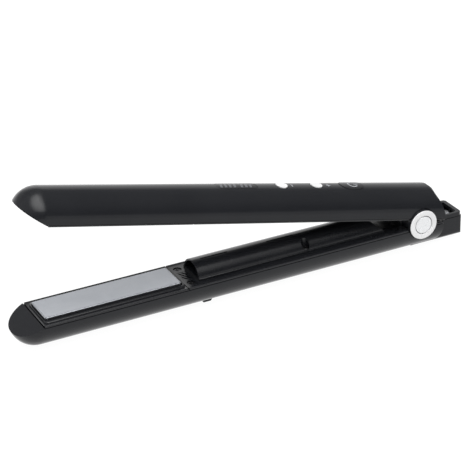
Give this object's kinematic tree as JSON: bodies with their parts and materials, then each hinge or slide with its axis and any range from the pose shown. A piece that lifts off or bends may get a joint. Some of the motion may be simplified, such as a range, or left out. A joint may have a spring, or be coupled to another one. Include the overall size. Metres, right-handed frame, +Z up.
{
  "type": "flat iron",
  "caption": "Hair-straightening flat iron: two half-round hinged arms with floating heated plates, sprung open, with push buttons, a plate lock and a swivelling cord inlet.",
  "frame": {"origin": "on the ground plane under the middle of the lower arm's length, in the plane that halves the iron lengthwise", "axes": "+X along the lower arm from the nose to the cord end, +Y across the arms to the right-hand side seen from the nose, +Z up through the gap towards the upper arm"},
  "size_m": [0.3012, 0.0374, 0.0987],
  "materials": {
    "shell_black": "satin moulded, fine texture",
    "cover_black": "satin moulded",
    "knuckle_grey": "glass-filled nylon, matte",
    "plate_ceramic": "ceramic-coated, satin",
    "cap_white": "pearl white, satin",
    "spun_metal": "spun, fine rings",
    "power_black": "gloss",
    "display_smoke": "smoked, gloss",
    "silicone": "soft, matte",
    "ptc_ceramic": "unglazed ceramic",
    "spring_steel": "zinc plated",
    "pin_steel": "ground",
    "screw_black": "black zinc",
    "slip_metal": "nickel plated",
    "brass_contact": "stamped",
    "lead_sleeve": "woven glass sleeve",
    "sensor_bead": "glass bead",
    "board_green": "solder mask",
    "component_case": "moulded cases",
    "module_grey": "potted module"
  },
  "bodies": {
    "lower_arm": {"lower_housing": "shell_black", "lower_plate_frame": "cover_black", "lower_plate_pads": "silicone", "lower_heater_leads": "lead_sleeve", "thermal_fuse": "spring_steel", "lower_cover": "cover_black", "board_cover": "cover_black", "vent_grille": "cover_black", "ion_generator": "module_grey", "main_board": "board_green", "board_components": "component_case", "lower_screws": "screw_black", "supply_leads": "lead_sleeve", "tail_cover": "shell_black", "contact_brushes": "brass_contact", "swivel_strap": "spring_steel", "strap_screws": "spring_steel", "lock_detent_spring": "spring_steel", "hinge_pin": "pin_steel", "left_hinge_cap": "cap_white", "right_hinge_cap": "cap_white", "left_cap_disc": "spun_metal", "right_cap_disc": "spun_metal", "return_spring": "spring_steel"},
    "lower_hot_plate": {"lower_plate": "plate_ceramic", "lower_heater": "ptc_ceramic", "lower_heater_clamp": "spring_steel", "lower_thermistor": "sensor_bead"},
    "swivel": {"cord_swivel": "cover_black", "slip_rings": "slip_metal"},
    "lock": {"lock_slider": "shell_black"},
    "upper_arm": {"upper_housing": "shell_black", "upper_plate_frame": "cover_black", "upper_plate_pads": "silicone", "upper_heater_leads": "lead_sleeve", "upper_cover": "cover_black", "hinge_knuckle": "knuckle_grey", "knuckle_screws": "screw_black", "lock_catch": "spring_steel", "upper_screws": "screw_black", "control_board": "board_green", "button_switches": "module_grey", "display_module": "module_grey", "display_window": "display_smoke"},
    "upper_hot_plate": {"upper_plate": "plate_ceramic", "upper_heater": "ptc_ceramic", "upper_heater_clamp": "spring_steel", "upper_thermistor": "sensor_bead"},
    "minus_key": {"minus_button": "cap_white"},
    "plus_key": {"plus_button": "cap_white"},
    "power_key": {"power_button": "power_black"}
  },
  "joints": [
    {"name": "arm_hinge", "type": "hinge", "parent": "lower_arm", "child": "upper_arm", "pos_m": [0.11618, 0, 0.02213], "axis": [0, 1, 0], "range_deg": [-13, 0], "stiffness_Nm_per_rad": 1.2, "springref_deg": 20.05, "deforming": ["return_spring"]},
    {"name": "lower_plate_float", "type": "slide", "parent": "lower_arm", "child": "lower_hot_plate", "axis": [0, 0, 1], "range_m": [-0.0006, 0], "stiffness_N_per_m": 6000, "springref_m": 0.0004, "deforming": ["lower_plate_pads"]},
    {"name": "upper_plate_float", "type": "slide", "parent": "upper_arm", "child": "upper_hot_plate", "axis": [-0.225, 0, -0.9744], "range_m": [-0.0006, 0], "stiffness_N_per_m": 6000, "springref_m": 0.0004, "deforming": ["upper_plate_pads"]},
    {"name": "minus_press", "type": "slide", "parent": "upper_arm", "child": "minus_key", "axis": [-0.225, 0, -0.9744], "range_m": [0, 0.0005], "stiffness_N_per_m": 800, "springref_m": -0.0005},
    {"name": "plus_press", "type": "slide", "parent": "upper_arm", "child": "plus_key", "axis": [-0.225, 0, -0.9744], "range_m": [0, 0.0005], "stiffness_N_per_m": 800, "springref_m": -0.0005},
    {"name": "power_press", "type": "slide", "parent": "upper_arm", "child": "power_key", "axis": [-0.225, 0, -0.9744], "range_m": [0, 0.0005], "stiffness_N_per_m": 800, "springref_m": -0.0005},
    {"name": "lock_slide", "type": "slide", "parent": "lower_arm", "child": "lock", "axis": [1, 0, 0], "range_m": [0, 0.004]},
    {"name": "swivel_turn", "type": "hinge", "parent": "lower_arm", "child": "swivel", "pos_m": [0.14568, 0, 0.0114], "axis": [1, 0, 0], "continuous": true}
  ]
}
